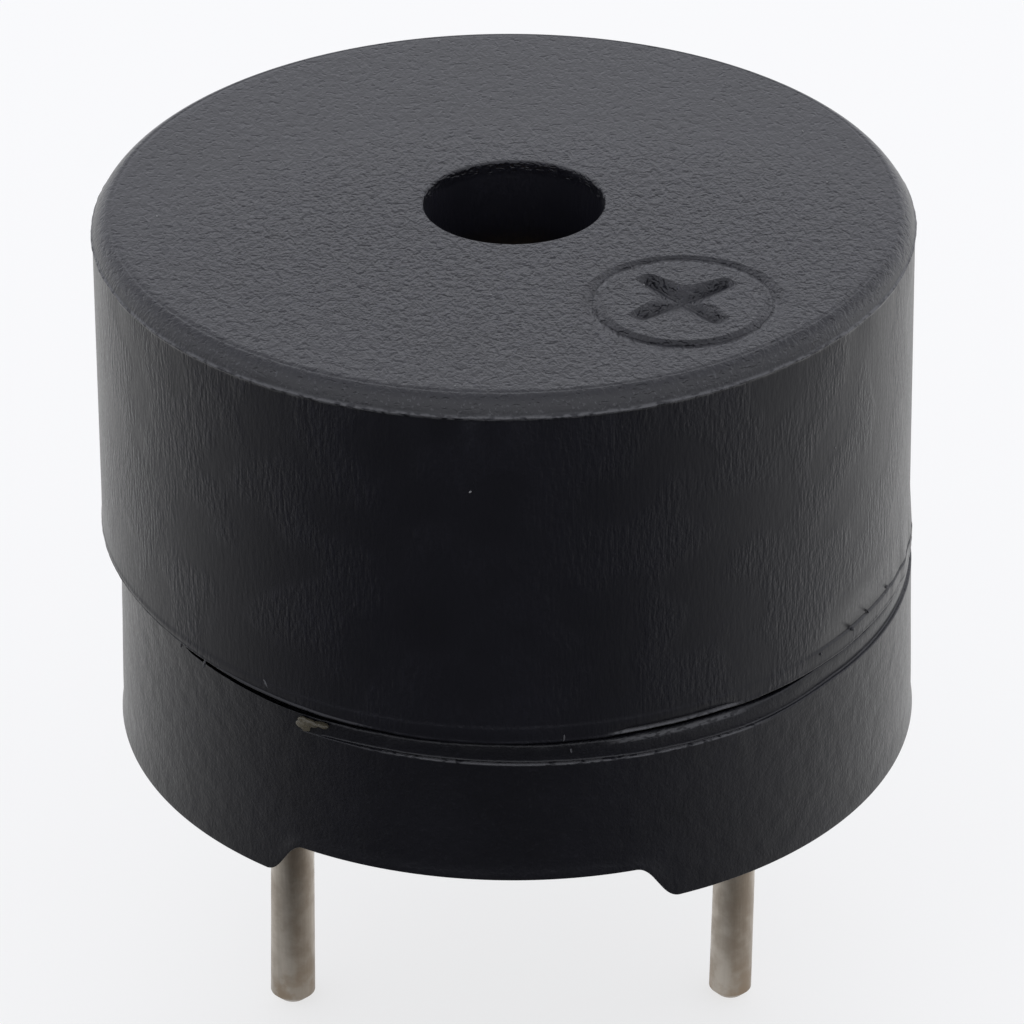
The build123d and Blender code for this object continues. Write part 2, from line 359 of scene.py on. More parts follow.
def pale_span(r, x, y, low, high):
    """One on the front of the case between two places along X, with soft ends."""
    ends = r.ramp(x, low - 0.15, low + 0.15), r.ramp(x, high - 0.2, high + 0.2, 1.0, 0.0)
    return r.times(*ends, r.ramp(y, -3.5, -2.5, 1.0, 0.0))


def plastic_noises(r, colour):
    """What both black plastics share: four patterns and a cloudy colour."""
    sand = r.noise(21.0, detail=1.0, rough=0.6)
    cloud = r.noise(0.9, detail=1.0, rough=0.55)
    broken = r.noise((7.0, 7.0, 20.0), detail=1.0, rough=0.7)
    dashes = r.noise((19.0, 19.0, 4.6), detail=1.0, rough=0.5)
    return sand, cloud, broken, dashes, r.blend(cloud, rgba(colour, 0.75), rgba(colour, 1.3))


def plastic_finish(r, tone, colour, burr_and_painted_highlight, marks, whitened_line_and_painted_highlight, sand, height):
    """Lay drag marks and pale lines over the plastic's colour; the pale lines are partly whitened moulding
    and partly painted highlight.
    """
    tone = r.blend(r.times(marks, 0.16), tone, rgba(colour, 3.0))
    tone = r.blend(r.math("MULTIPLY", whitened_line_and_painted_highlight, 0.85, clamp=True), tone, rgba(burr_and_painted_highlight))
    return r.finish(tone, r.mad(sand, 0.16, 0.3), r.bump(height), IOR=1.5)


# grey painted on the cap's rounded edge as a sheen where the edge catches the light
PAINTED_EDGE_SHEEN_GREY = (0.034, 0.034, 0.036, 1.0)


def cap_plastic(s, colours, mark):
    """Worm grain on the top, upright drag marks in patches on the wall, pale broken lines that are partly
    whitened moulding and partly painted highlight, a painted sheen on the rounded edge, a painted highlight
    along the ring and painted glints on the grain.
    """
    r = Recipe("cap_black")
    x, y, z = r.place()
    sand, cloud, broken, dashes, tone = plastic_noises(r, colours.cap)
    worms = r.noise((9.5, 5.0, 9.5), detail=1.5, rough=0.5, distortion=0.9)
    edge = s.cap_top - s.cap_edge - 0.018
    outer = r.ramp(r.square(x, y), 22.0, 26.0)
    top = r.ramp(z, s.cap_top - 0.24, s.cap_top + 0.02)
    wall = r.math("SUBTRACT", 1.0, top)

    # the grain is strongest in front of the hole
    from_middle = r.square(r.mad(x, 0.7, -0.2), r.mad(y, 1.0, 1.8))
    grain = r.times(top, r.ramp(from_middle, 1.0, 22.0, 1.15, 0.3))
    patch = r.times(r.ramp(cloud, 0.36, 0.56), r.ramp(x, -5.2, 2.5, 1.0, 0.15))
    marks = r.times(r.ramp(dashes, 0.52, 0.64), patch, wall)

    # painted sheen: the rounded edge is painted grey where it catches the light, with pale crumbs on it
    painted_edge_sheen = r.times(r.near(z, s.cap_top - 0.15, 0.13), outer)
    tone = r.blend(r.times(painted_edge_sheen, 0.75), tone, PAINTED_EDGE_SHEEN_GREY)
    tone = r.blend(r.times(r.ramp(sand, 0.6, 0.7), painted_edge_sheen, 0.5), tone, rgba(colours.burr_and_painted_highlight))

    # pale lines under the edge and along the lip: partly whitened moulding burr, partly painted highlight
    # where these edges catch the light
    whitened_line_and_painted_highlight = r.times(r.near(z, edge, 0.05), r.times(r.ramp(broken, 0.36, 0.56), outer))
    pale = r.times(r.near(z, s.cap_bottom + 0.062, 0.026), r.times(r.ramp(broken, 0.3, 0.45), outer))
    whitened_line_and_painted_highlight = r.math("MAXIMUM", whitened_line_and_painted_highlight, r.times(pale, pale_span(r, x, y, 1.35, 3.1)))

    # painted highlight along the ring's slopes that face the light, and painted glints on the grain
    beside = r.math("SUBTRACT", x, mark[0]), r.math("SUBTRACT", y, mark[1] - 0.13)
    painted_ring_highlight = r.times(r.near(r.math("SQRT", r.square(*beside)), s.ring_radius, 0.06), r.ramp(sand, 0.4, 0.6))
    painted_ring_highlight = r.times(painted_ring_highlight, r.ramp(z, s.cap_top - 0.06, s.cap_top - 0.02), 0.75)
    tone = r.blend(painted_ring_highlight, tone, rgba(colours.burr_and_painted_highlight))
    # painted glints: paler flecks on the crests of the grain
    tone = r.blend(r.times(r.ramp(sand, 0.64, 0.74), grain, 0.5), tone, rgba(colours.cap, 5.0))

    dragged = r.times(r.ramp(cloud, 0.4, 0.56, 0.45, 1.5), wall)
    height = r.total(
        (r.times(worms, grain), 0.062),
        (r.times(sand, grain), 0.02),
        (r.times(r.ramp(broken, 0.58, 0.7), grain), -0.03),
        (r.times(r.mad(dashes, 0.8, r.times(sand, 0.4)), dragged), 0.0105),
    )
    return plastic_finish(r, tone, colours.cap, colours.burr_and_painted_highlight, marks, whitened_line_and_painted_highlight, sand, height)


def base_plastic(s, colours):
    """Smoother than the cap, with a pale broken line along the ledge at the front and one by the seam; the
    first is partly whitened burr and partly painted highlight, the second is painted highlight.
    """
    r = Recipe("base_black")
    x, y, z = r.place()
    sand, _, broken, dashes, tone = plastic_noises(r, colours.base)
    edge = s.shoulder - s.base_chamfer
    front = r.times(r.ramp(x, -2.6, -1.2), r.ramp(x, 3.0, 3.9, 1.0, 0.0), r.ramp(y, -3.5, -2.5, 1.0, 0.0))
    rim = r.ramp(r.square(x, y), 34.85, 34.95)
    # pale broken lines: along the front of the ledge partly whitened burr and partly painted highlight, by
    # the seam a painted highlight where the step's top edge catches the light
    ledge = r.times(r.near(r.mad(x, 0.0143, z), edge - 0.002, 0.03), rim, front)
    pale = r.times(r.near(z, s.shoulder - 0.09, 0.045), pale_span(r, x, y, 1.35, 3.2))
    whitened_line_and_painted_highlight = r.times(r.math("MAXIMUM", ledge, pale), r.ramp(broken, 0.36, 0.5))
    height = r.total((sand, 0.006), (r.noise(3.6, detail=1.0), 0.016), (dashes, 0.003))
    marks = r.ramp(sand, 0.62, 0.74)
    return plastic_finish(r, tone, colours.base, colours.burr_and_painted_highlight, marks, whitened_line_and_painted_highlight, sand, height)


def tinned_metal(name, colour):
    """Dull tin plate with drawing streaks, stained towards the tip."""
    r = Recipe(name)
    x, y, z = r.place()
    streak = r.noise((9.0, 9.0, 0.7), detail=3.0, rough=0.6)
    patch = r.noise(2.2, detail=4.0, rough=0.6)
    pores = r.noise(11.0, detail=2.0, rough=0.6)
    stain = r.ramp(z, PIN_Z[0], PIN_Z[0] + 1.0, 0.8, 0.0)
    tone = r.blend(streak, rgba(colour, 0.8), rgba(colour, 1.2))
    brown = tinted(colour, 0.56, 0.49, 0.42)
    tone = r.blend(r.ramp(patch, 0.36, 0.66, 0.0, 0.4), tone, brown)
    # painted reflection: a brown line along the middle of each pin, standing in for the dark side of a room
    beside = r.math("SUBTRACT", x, r.times(r.math("SIGN", x), PIN_OFFSET))
    painted_reflection = r.times(r.near(r.mad(z, 0.014, beside), -0.02, 0.26), r.ramp(y, -0.1, 0.1, 0.7, 0.0))
    tone = r.blend(r.times(painted_reflection, r.ramp(patch, 0.2, 0.6, 0.6, 1.0)), tone, brown)
    stained = r.math("MULTIPLY", stain, r.ramp(patch, 0.35, 0.6), clamp=True)
    tone = r.blend(stained, tone, tinted(colour, 0.7, 0.6, 0.5))
    rough = r.ramp(patch, 0.3, 0.7, 0.34, 0.48)
    return r.finish(tone, rough, r.bump(r.total((streak, 0.006), (pores, 0.003))), Metallic=1.0)


def simple_finish(name, colour, rough, metallic=0.0, grain=6.0, depth=0.01):
    """Colour and gloss that vary a little, with a fine surface grain."""
    r = Recipe(name)
    cloud = r.noise(1.2, detail=3.0)
    fine = r.noise(grain, detail=3.0, rough=0.6)
    tone = r.blend(cloud, rgba(colour, 0.8), rgba(colour, 1.2))
    gloss = r.ramp(fine, 0.3, 0.7, max(0.05, rough - 0.06), rough + 0.06)
    return r.finish(tone, gloss, r.bump(r.times(fine, depth)), Metallic=metallic)


# Pieces


# Inside of the cap: thickness of the roof, height and width of the ledge that holds the disc down,
# radius of the sound hole's neck, length of the hole, and the chamfer where wall and neck meet the roof
ROOF, LEDGE_Z, LEDGE_WIDTH, NECK, PORT_LENGTH, ROOF_CHAMFER = 0.8, 4.8, 0.4, 2.1, 2.0, 0.3


def cap_profile(s):
    """Section of the cap from the port's mouth outwards and back inside; radii about the wall's own axis."""
    top, bottom, wall, lip, port, skirt = (
        s.cap_top, s.cap_bottom, s.cap_radius, s.lip_radius, s.port_radius, s.skirt_radius
    )
    rim, low = wall - s.cap_edge, top - s.cap_edge
    port_soft = 0.05
    flare = lip - 0.01
    lip_top = bottom + s.lip_height
    roof, cavity, neck_end = top - ROOF, skirt - LEDGE_WIDTH, top - PORT_LENGTH
    points = arc((port + port_soft, top - port_soft), port_soft, 180, 90, 6)
    points += [(port + 0.14, top), (3.5, top)]
    points += around(rim, top, (-0.12, 0.0), (-0.06, 0.0), (-0.035, -0.01), (-0.015, -0.014), (0.005, -0.008))
    # rounded edge, and a moulding line that stands out under it
    points += arc((rim - 0.572 * s.cap_edge, top - 1.572 * s.cap_edge), 1.672 * s.cap_edge, 67, 20, 7)
    points += around(wall, low, (0.012, -0.006), (0.02, -0.018), (0.014, -0.034), (-0.002, -0.05))
    # flared wall
    steps = 8
    wall_top, wall_end = low - 0.08, lip_top + 0.05
    for i in range(steps + 1):
        t = i / steps
        points.append((wall + (flare - wall) * t, wall_top + (wall_end - wall_top) * t))
    # raised lip
    points += [(flare + 0.001, lip_top + 0.012)]
    points += around(lip, lip_top, (-0.003, -0.004), (0.0, -0.03))
    points += around(lip, bottom, (0.0, 0.12), (-0.006, 0.066), (-0.004, 0.052), (0.0, 0.04))
    points += around(lip, bottom, (0.0, 0.02), (-0.03, 0.0))
    # inside
    points += around(skirt, bottom, (0.3, 0.0), (0.02, 0.0), (0.0, 0.02))
    points += [(skirt, LEDGE_Z), (cavity, LEDGE_Z)]
    points += [(cavity, roof - ROOF_CHAMFER), (cavity - ROOF_CHAMFER, roof)]
    points += [(NECK + ROOF_CHAMFER, roof), (NECK, roof - ROOF_CHAMFER)]
    points += [(NECK, neck_end), (port, neck_end), (port, top - 1.0)]
    return points


ARM_TAPER = 0.72  # width of an arm of the plus sign at its end, as a share of that at its root


def plus_outline(half, reach, outer_round, inner_round):
    """Outline of a plus sign with rounded corners and arms that narrow to their ends."""
    points = []
    end = half * ARM_TAPER
    for quarter in range(4):
        a = math.radians(90 * quarter)
        corner = []
        corner += arc((reach - outer_round, -end + outer_round), outer_round, -90, 0, 4)
        corner += arc((reach - outer_round, end - outer_round), outer_round, 0, 90, 4)
        corner += arc((half + inner_round, half + inner_round), inner_round, 270, 180, 4)
        for x, y in corner:
            points.append((x * math.cos(a) - y * math.sin(a), x * math.sin(a) + y * math.cos(a)))
    return points


# Shares of the way from a groove's middle line to its rim, and the power of its slope, for plus sign and ring
SINK = (1.0, 0.9, 0.8, 0.7, 0.6, 0.5, 0.4, 0.26, 0.12, 0.04, 0.0)
PLUS_SLOPE, RING_SLOPE = 1.15, 1.1
ABOVE = 0.2  # how far the cutter stands above the top face
CREASE, RING_CREASE = 0.012, 0.008  # half widths of the grooves at their middle lines


def sink(share, depth, power):
    """Depth of a groove: a slope from its rim to its middle line."""
    return max(0.0015, depth * (1.0 - share) ** power)


def mark_cutter(s, centre, turn):
    """Solid that sinks the plus sign and its ring, with soft slopes."""
    bm = bmesh.new()
    outlines = []
    for share in (None, *SINK):
        slope = 1.0 if share is None else share
        depth = -ABOVE if share is None else sink(share, s.plus_depth, PLUS_SLOPE)
        half = CREASE + (s.plus_half - CREASE) * slope
        reach = s.plus_reach - (s.plus_half - half)
        outline = []
        for x, y in plus_outline(half, reach, half * 0.6, 0.03 + 0.2 * slope):
            px = centre[0] + x * math.cos(turn) - y * math.sin(turn)
            # the crease lies towards the back, which makes the slopes on the side of the front the wide ones
            py = centre[1] + x * math.sin(turn) + y * math.cos(turn) + 0.1 * (1.0 - slope)
            outline.append(bm.verts.new((px, py, s.cap_top - depth)))
        outlines.append(outline)
    for upper, lower in zip(outlines, outlines[1:]):
        for i in range(len(upper)):
            j = (i + 1) % len(upper)
            bm.faces.new((upper[i], lower[i], lower[j], upper[j]))
    bm.faces.new(outlines[0])
    bm.faces.new(list(reversed(outlines[-1])))

    columns = []
    for angle in even_angles(144):
        c, n = math.cos(angle), math.sin(angle)
        # the slope on the side of the front is the wide one, at the front and at the back
        front = 0.5 - 0.5 * n
        inner, outer = s.ring_half * (1.9 - 1.45 * front), s.ring_half * (0.4 + 1.6 * front)
        depth = s.ring_depth * (0.6 + 0.4 * front) * (1.0 + 0.25 * ragged(1.0, angle, 2.5, 31.0))
        falls = [(share, sink(share, depth, RING_SLOPE)) for share in SINK]
        section = [(outer, -ABOVE)]
        section += [(max(RING_CREASE, outer * share), fall) for share, fall in falls]
        section += [(-max(RING_CREASE, inner * share), fall) for share, fall in reversed(falls)]
        section += [(-inner, -ABOVE)]
        column = []
        for out, down in section:
            r = s.ring_radius + out
            column.append(bm.verts.new((centre[0] + r * c, centre[1] + r * n, s.cap_top - down)))
        columns.append(column)
    skin(bm, columns)
    return finish_mesh(bm, "mark_cutter")


def ragged(r, angle, scale, seed):
    """Noise between -1 and 1 along a circle."""
    spot = Vector((r * math.cos(angle) * scale, r * math.sin(angle) * scale, seed))
    return 0.65 * noise.noise(spot) + 0.35 * noise.noise(spot * 3.1)


def ease(value, low, high):
    t = min(1.0, max(0.0, (value - low) / (high - low)))
    return t * t * (3.0 - 2.0 * t)


def front_angle(angle):
    """Angle in degrees from the front, positive to the right."""
    return (math.degrees(angle) + 90.0 + 180.0) % 360.0 - 180.0


def bump_between(value, low, high, soft):
    """One between low and high, nothing outside, with soft ends."""
    return ease(value, low - soft, low + soft) * (1.0 - ease(value, high - soft, high + soft))


def before_back(off):
    """One, falling to nothing between the left and the back; off is the angle from the front."""
    return ease(off, -165.0, -115.0)


def rise(off, amount):
    """The seam isn't level: it climbs at the left, and comes down again at the back."""
    return amount * ease(-off, 0.0, 75.0) * before_back(off)


def fold(off):
    """How far the lip's lower edge stands out as a folded burr."""
    return 0.016 * bump_between(off, 15.0, 32.0, 2.0) + 0.02 * bump_between(off, -41.0, -21.0, 5.0)


def step_share(off):
    """Share of the step under the seam: all at the front, less at the right, none at the left."""
    left = ease(-off, 18.0, 34.0) * before_back(off)
    right = 0.55 * ease(off, 30.0, 44.0) * (1.0 - ease(off, 110.0, 160.0))
    return 1.0 - left - right


class BUZZER_OT_cap(bpy.types.Operator):
    """Make the cap: rolled edges, a rough moulding line, the port and the sunk plus sign"""

    bl_idname = "buzzer.cap"
    bl_label = "Cap"

    def execute(self, context):
        s, colours = context.scene.buzzer_sizes, context.scene.buzzer_colours
        inside = s.port_radius + 0.2
        bottom, low, lip_top = s.cap_bottom, s.cap_top - s.cap_edge, s.cap_bottom + s.lip_height

        def place(r, z, angle):
            off = front_angle(angle)
            on_wall = r > s.skirt_radius + 0.4
            # a flash on the lip at the right, and a groove above it
            flash = 0.05 * bump_between(off, 68.0, 90.0, 8.0)
            if flash and on_wall and z < lip_top + 0.06:
                r += flash * (0.6 + 0.8 * ragged(r, angle, 3.0, 21.0))
            if abs(z - lip_top - 0.02) < 0.01 and on_wall:
                r -= 0.035 * bump_between(off, 50.0, 96.0, 8.0)
            # the port stays on the axis and the wall stands off it
            in_skirt = z < s.cap_top - 0.3 and r < s.skirt_radius + 0.01
            shift = s.cap_shift if r > inside and not in_skirt else 0.0
            # rough moulding line
            if r > s.cap_radius - 0.01 and abs(z - low + 0.02) < 0.04:
                r += 0.016 * ragged(r, angle, 3.0, 3.1)
                z += 0.012 * ragged(r, angle, 2.0, 5.4)
            # the lip climbs at the left, and its edge is folded
            if r > s.skirt_radius + 0.01 and z < lip_top + 0.1:
                climb = rise(off, 0.45) - rise(off, 0.18) * ease(z, bottom, lip_top)
                tucked = bump_between(off, 15.0, 32.0, 2.0)
                if abs(z - bottom - 0.03) < 0.015:
                    r += fold(off) + 0.008 * ragged(r, angle, 4.0, 9.2)
                elif abs(z - bottom - 0.059) < 0.01:
                    r -= 0.03 * tucked
                z += climb + 0.035 * tucked * (1.0 - ease(z, bottom + 0.05, bottom + 0.13))
                if on_wall:
                    z += 0.007 * ragged(r, angle, 2.0, 7.7)
            return (r * math.cos(angle) - shift, r * math.sin(angle), z)

        bm = lathe(cap_profile(s), even_angles(720), place)
        cap = finish_mesh(bm, "cap_shell")
        turn = math.radians(-45.0) + s.case_turn
        centre = (s.mark_distance * math.cos(turn), s.mark_distance * math.sin(turn))
        cutter = mark_cutter(s, centre, turn)
        cut = cap.modifiers.new("mark", "BOOLEAN")
        cut.operation = "DIFFERENCE"
        cut.solver = "EXACT"
        cut.object = cutter
        weigh_normals(cap, 80)
        plain_mesh(cap)
        level_top(cap.data, s.cap_top, s.cap_radius - s.cap_edge - 0.07)
        bpy.data.objects.remove(cutter)
        paint(cap, cap_plastic(s, colours, centre))
        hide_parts("top_case")
        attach(cap, "root")
        return {"FINISHED"}


# Inside of the base ring: radii of the resin's hole, the board's chamber and the spigot, height of the ledge
RESIN_HOLE, CHAMBER, SPIGOT, BOARD_LEDGE = 4.15, 4.5, 5.15, 1.5
FOOT_ROUND = 0.03  # rounded corner under the feet


def base_profile(s):
    """Section of the base ring, from the resin's hole under the foot and up the wall to the spigot."""
    low, edge, soft = s.base_low, s.shoulder - s.base_chamfer, FOOT_ROUND
    radius, foot = low - s.base_flare, low - s.foot_width
    points = [(RESIN_HOLE, s.foot_height), (foot, s.foot_height), (foot, 0.0)]
    points += [(foot + 0.3, 0.0), (low - 0.1, 0.0)]
    # the foot's rounded corner stands out a little, and the wall narrows upwards
    points += arc((low, soft), soft, -90, 0, 5)
    points += [(low, 0.25), (low - s.base_flare * 0.1, 0.6), (low - s.base_flare * 0.3, 1.0)]
    points += [(low - s.base_flare * 0.64, 1.6)]
    # a narrow ledge, a groove behind it, an upright step and a soft edge by the seam
    points += around(radius, edge, (0.0, -0.08), (0.0, -0.03), (0.0, -0.01), (-0.006, 0.0), (-0.06, 0.004))
    points += around(radius, edge, (-0.068, -0.03), (-0.076, 0.03), (-0.082, 0.12), (-0.086, 0.23))
    points += around(radius, edge, (-0.1, 0.262), (-0.14, 0.275), (-0.17, 0.26))
    points += [(radius - s.base_chamfer, s.shoulder - 0.11), (SPIGOT, s.shoulder - 0.1)]
    points += [(SPIGOT, BASE_Z[1]), (CHAMBER, BASE_Z[1]), (CHAMBER, BOARD_LEDGE), (RESIN_HOLE, BOARD_LEDGE)]
    return points


def slot_roof(s, across):
    """Height of the underside at a distance from the slot's middle: foot, slope with soft ends, roof."""
    t = (s.slot_half + s.slot_flare - abs(across)) / s.slot_flare
    bend = 0.34
    if t <= -bend:
        share = 0.0
    elif t < bend:
        share = (t + bend) ** 2 / (4 * bend)
    elif t <= 1 - bend:
        share = t
    elif t < 1 + bend:
        share = 1 - (1 + bend - t) ** 2 / (4 * bend)
    else:
        share = 1.0
    return s.foot_height * share


def slot_angles(slot_axis):
    """Angles round the base ring, closer together at the ends of both slots."""
    coarse, fine = math.radians(0.5), math.radians(0.15)
    angles, angle = [], 0.0
    while angle < math.tau - 1e-6:
        angles.append(angle)
        off = abs((angle - slot_axis + math.pi / 2) % math.pi - math.pi / 2)
        angle += fine if math.radians(20) < off < math.radians(43) else coarse
    if math.tau - angles[-1] < fine / 2:
        angles.pop()
    return angles


def step_shape(r, z, angle, radius, edge):
    """Where a point of the ledge, the step and the edge under the seam goes."""
    off = front_angle(angle)
    share, back = step_share(off), before_back(off)
    if r <= radius - 0.15:
        return r, z - 0.3 * ease(-off, 10.0, 30.0) * back
    ledge = 1.0 - ease(z, edge + 0.03, edge + 0.2)
    top = ease(z, edge + 0.03, edge + 0.24)
    right = 1.0 - ease(off, 110.0, 150.0)
    # the ledge slants, and comes up to the seam at the right
    slant = -0.0015 * min(30.0, max(-25.0, off)) + 0.1 * ease(off, 32.0, 52.0)
    z += (slant * ledge + 0.1 * top * ease(off, 36.0, 48.0)) * right * back
    # the edge is bevelled where the lip above it is folded
    bevel = bump_between(off, 16.0, 34.0, 5.0) * top
    z += 0.012 * ragged(r, angle, 2.4, 4.4) * top - (0.06 * bevel if r > radius - 0.09 else 0.0)
    r -= 0.04 * bevel if r < radius - 0.09 else 0.0
    # where the step closes, its groove closes first, and it stays as a line at the right
    if abs(r - radius + 0.068) < 0.004:
        z += 0.05 * (1.0 - share)
    if abs(r - radius + 0.072) < 0.008:
        r -= 0.05 * ease(off, 34.0, 50.0) * right
    r = radius - (radius - r) * share
    # the edge climbs less than the cap at the left, so that the seam gapes, and meets it where the gap ends
    climb = min(1.0, max(0.0, (-off - 15.0) / 45.0))
    shut = ease(-off, 52.0, 60.0)
    climb = 0.25 * climb**1.4 * (1.0 - shut) * back + (rise(off, 0.45) + 0.1 * back) * shut
    z += climb * ease(z, edge - 0.03, edge + 0.24)
    r += 0.006 * share * ledge * ragged(radius, angle, 3.0, 12.3)
    z += 0.008 * share * ledge * ragged(radius, angle, 2.0, 14.9)
    return r, z


class BUZZER_OT_base(bpy.types.Operator):
    """Make the base ring with its shoulder, feet and wide slots"""

    bl_idname = "buzzer.base"
    bl_label = "Base ring"

    def execute(self, context):
        s, colours = context.scene.buzzer_sizes, context.scene.buzzer_colours
        radius, edge = s.base_low - s.base_flare, s.shoulder - s.base_chamfer
        foot_inner = s.base_low - s.foot_width
        slot_axis = math.radians(-90.0) + s.case_turn

        def place(r, z, angle):
            lift = slot_roof(s, r * math.sin(angle - slot_axis))
            if edge - 0.04 < z < s.shoulder + 0.02 and r > SPIGOT - 0.01:
                r, z = step_shape(r, z, angle, radius, edge)
            if z <= FOOT_ROUND + 0.001:
                z = z + lift - 0.012
            elif r >= radius - 0.001 and z < 1.0:
                z = z + lift * (1.0 - z)
            if r < foot_inner + 0.01 and z < 1.0:
                z = min(z, s.foot_height)
            return (r * math.cos(angle), r * math.sin(angle), z)

        bm = lathe(base_profile(s), slot_angles(slot_axis), place)
        bmesh.ops.remove_doubles(bm, verts=bm.verts[:], dist=1e-5)
        ring = finish_mesh(bm, "base_shell")
        weigh_normals(ring, 60)
        plain_mesh(ring)
        paint(ring, base_plastic(s, colours))
        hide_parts("base_ring")
        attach(ring, "root")
        return {"FINISHED"}


class Tree(Nodes):
    """Geometry node tree with named inputs."""

    def __init__(self, name, inputs):
        super().__init__(bpy.data.node_groups.new(name, "GeometryNodeTree"))
        face = self.tree.interface
        face.new_socket("Geometry", in_out="OUTPUT", socket_type="NodeSocketGeometry")
        for label, kind in inputs:
            face.new_socket(label, in_out="INPUT", socket_type="NodeSocket" + kind)
        self.given = self.node("NodeGroupInput").outputs
        self.out = self.node("NodeGroupOutput")

    def vector(self, **axes):
        return self.node("ShaderNodeCombineXYZ", axes).outputs[0]

    def moved(self, geometry, shift):
        return self.node("GeometryNodeTransform", {"Geometry": geometry, "Translation": shift}).outputs[0]

    def end(self, geometry, material):
        """Make instances real, set the material and send the result out."""
        real = self.node("GeometryNodeRealizeInstances", {0: geometry}).outputs[0]
        paint = self.node("GeometryNodeSetMaterial", {"Geometry": real, "Material": material}).outputs[0]
        self.link(paint, self.out.inputs[0])
        return self.tree


def pin_tree():
    """A round pin that widens towards a blunt chamfered tip, at both sides, each with its own lean."""
    sizes = ("Radius", "Spread", "Bottom", "Top", "Pivot", "Tip", "Offset", "Uneven")
    leans = ("Lean left", "Lean right")
    t = Tree("pin_pair", [(name, "Float") for name in sizes + leans] + [("Material", "Material")])
    given = t.given
    low, high = (t.math("SUBTRACT", given[name], given["Pivot"]) for name in ("Bottom", "Top"))
    wide = t.math("ADD", given["Radius"], given["Spread"])
    blunt = t.math("SUBTRACT", wide, given["Tip"])
    shank_low = t.math("ADD", low, given["Tip"])

    def turned(radius_top, radius_bottom, bottom, depth):
        sizes = {"Radius Top": radius_top, "Radius Bottom": radius_bottom, "Depth": depth}
        cone = t.node("GeometryNodeMeshCone", {"Vertices": 64, "Side Segments": 6, **sizes}, fill_type="NONE")
        return t.moved(cone.outputs["Mesh"], t.vector(Z=bottom))

    def lid(radius, height):
        disc = t.node("GeometryNodeMeshCircle", {"Vertices": 64, "Radius": radius}, fill_type="NGON")
        return t.moved(disc.outputs["Mesh"], t.vector(Z=height))

    shank = turned(given["Radius"], wide, shank_low, t.math("SUBTRACT", 0.0, shank_low))
    root = turned(given["Radius"], given["Radius"], 0.0, high)
    tip = turned(wide, blunt, low, given["Tip"])
    flipped = t.node("GeometryNodeFlipFaces", {0: lid(blunt, low)}).outputs[0]
    join = t.node("GeometryNodeJoinGeometry")
    for part in (shank, root, tip, flipped, lid(given["Radius"], high)):
        t.link(part, join.inputs[0])
    pin = t.node("GeometryNodeMergeByDistance", {"Geometry": join.outputs[0], "Distance": 1e-4}).outputs[0]
    start = t.vector(X=t.math("MULTIPLY", given["Offset"], -1.0), Z=given["Pivot"])
    step = t.vector(X=t.math("MULTIPLY", given["Offset"], 2.0))
    row = t.node("GeometryNodeMeshLine", {"Count": 2, "Start Location": start, "Offset": step}).outputs[0]
    side = t.node("GeometryNodeInputIndex").outputs[0]
    lean = t.math("MULTIPLY", side, t.math("SUBTRACT", given["Lean right"], given["Lean left"]))
    turn = t.vector(Y=t.math("ADD", given["Lean left"], lean))
    width = t.math("SUBTRACT", 1.0, t.math("MULTIPLY", t.math("SUBTRACT", side, 0.5), given["Uneven"]))
    placed = t.node(
        "GeometryNodeInstanceOnPoints",
        {"Points": row, "Instance": pin, "Rotation": turn, "Scale": t.vector(X=width, Y=width, Z=1.0)},
    )
    return t.end(placed.outputs[0], given["Material"])


def speck_tree():
    """Ragged grains on marked points, each with its own turn and stretch."""
    t = Tree("specks", [("Geometry", "Geometry"), ("Rough", "Float"), ("Material", "Material")])
    grain = t.node("GeometryNodeMeshIcoSphere", {"Radius": 0.5, "Subdivisions": 4}).outputs["Mesh"]
    turn, stretch = (
        t.node("GeometryNodeInputNamedAttribute", {"Name": label}, data_type="FLOAT_VECTOR").outputs[0]
        for label in ("turn", "stretch")
    )
    placed = t.node(
        "GeometryNodeInstanceOnPoints",
        {"Points": t.given["Geometry"], "Instance": grain, "Rotation": turn, "Scale": stretch},
    ).outputs[0]
    real = t.node("GeometryNodeRealizeInstances", {0: placed}).outputs[0]
    crumple = t.node("ShaderNodeTexNoise", {"Scale": 9.0, "Detail": 3.0, "Roughness": 0.6}).outputs["Color"]
    push = t.node("ShaderNodeVectorMath", {0: crumple, 1: (-0.5, -0.5, -0.5)}, operation="ADD").outputs[0]
    shift = t.node("ShaderNodeVectorMath", {0: push, "Scale": t.given["Rough"]}, operation="SCALE").outputs[0]
    moved = t.node("GeometryNodeSetPosition", {"Geometry": real, "Offset": shift}).outputs[0]
    return t.end(moved, t.given["Material"])


def run_tree(name, tree, values, mesh=None):
    """Run a geometry node tree on a mesh in millimetres, and keep the result as a plain mesh in metres."""
    piece = add_object(name, mesh or bpy.data.meshes.new(name))
    modifier = piece.modifiers.new(name, "NODES")
    modifier.node_group = tree
    for item in tree.interface.items_tree:
        if item.in_out == "INPUT" and item.name in values:
            modifier[item.identifier] = values[item.name]
    plain_mesh(piece)
    piece.data.transform(Matrix.Scale(MM, 4))
    return piece


def level_top(mesh, height, reach):
    """Point the normals of the flat top face straight up, up to the rims of what is sunk in it."""
    normals = [Vector(corner.vector) for corner in mesh.corner_normals]
    for index, loop in enumerate(mesh.loops):
        x, y, z = mesh.vertices[loop.vertex_index].co / MM
        if z > height - 0.002 and x * x + y * y < reach * reach:
            normals[index] = Vector((0.0, 0.0, 1.0))
    mesh.normals_split_custom_set(normals)


